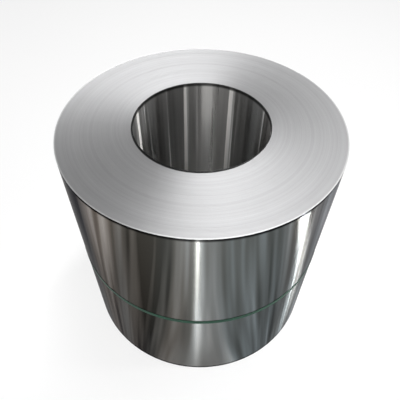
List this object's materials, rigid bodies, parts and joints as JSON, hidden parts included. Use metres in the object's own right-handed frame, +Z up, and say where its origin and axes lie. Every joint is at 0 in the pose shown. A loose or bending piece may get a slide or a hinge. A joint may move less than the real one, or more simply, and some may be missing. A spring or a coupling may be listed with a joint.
{
  "type": "steel coil",
  "caption": "Coil of cold-rolled steel strip standing on its end, a thick-walled cylinder with an open bore for a mandrel and a plastic strap round its wall.",
  "frame": {"origin": "middle of the end that the coil stands on", "axes": "+Z up along the coil's axis, -Y towards the side that the picture shows"},
  "size_m": [1.0625, 1.0625, 1.0004],
  "materials": {
    "steel": "polished",
    "strap_plastic": "gloss"
  },
  "bodies": {
    "root": {"coil": "steel", "strap": "strap_plastic"}
  },
  "joints": []
}
